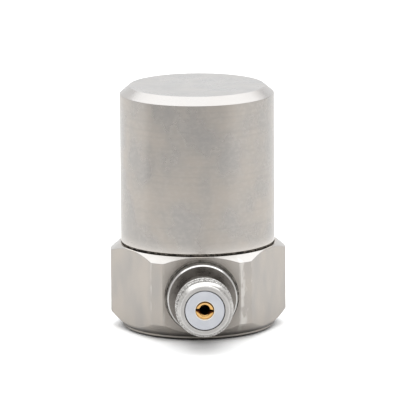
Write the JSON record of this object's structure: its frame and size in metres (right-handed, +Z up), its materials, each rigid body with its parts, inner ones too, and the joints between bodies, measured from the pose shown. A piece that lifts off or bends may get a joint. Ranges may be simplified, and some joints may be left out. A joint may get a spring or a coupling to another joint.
{
  "type": "vibration sensor",
  "caption": "Small stainless vibration sensor: round cap on a hexagon base with a tapped mounting hole underneath, and a threaded coaxial outlet on the side.",
  "frame": {"origin": "centre of the mounting face, on the axis of the tapped mounting hole", "axes": "+Z up along the sensing axis, from the mounting face to the cap; the coaxial outlet points along -Y"},
  "size_m": [0.0154, 0.0196, 0.0214],
  "materials": {
    "base_steel": "fine turned stainless steel",
    "cap_steel": "satin stainless steel",
    "connector_steel": "fine turned stainless steel",
    "white_plastic": "waxy white fluoroplastic",
    "gilt": "gold plate",
    "sealing_glass": "dark fused glass",
    "stud_steel": "bright alloy steel",
    "bronze_foil": "rolled bronze foil",
    "piezo_ceramic": "fired matt ceramic",
    "heavy_metal": "sintered heavy alloy",
    "spring_steel": "blued spring steel",
    "carrier_plastic": "natural engineering plastic",
    "board_laminate": "green solder mask on glass laminate",
    "black_moulding": "black moulded package",
    "capacitor_ceramic": "tan ceramic",
    "red_lead": "insulated lead",
    "white_lead": "insulated lead",
    "black_lead": "insulated lead"
  },
  "bodies": {
    "root": {"base": "base_steel", "cap": "cap_steel", "connector_shell": "connector_steel", "connector_insulator": "white_plastic", "contact_socket": "gilt", "glass_bead": "sealing_glass", "preload_stud": "stud_steel", "stud_sleeve": "white_plastic", "lower_contact_washer": "bronze_foil", "lower_crystal": "piezo_ceramic", "signal_electrode": "bronze_foil", "upper_crystal": "piezo_ceramic", "upper_contact_washer": "bronze_foil", "seismic_mass": "heavy_metal", "disc_spring": "spring_steel", "preload_nut": "stud_steel", "board_carrier": "carrier_plastic", "circuit_board": "board_laminate", "amplifier_chip": "black_moulding", "chip_resistors": "black_moulding", "chip_capacitor": "capacitor_ceramic", "signal_lead": "red_lead", "output_lead": "white_lead", "ground_lead": "black_lead"}
  },
  "joints": []
}
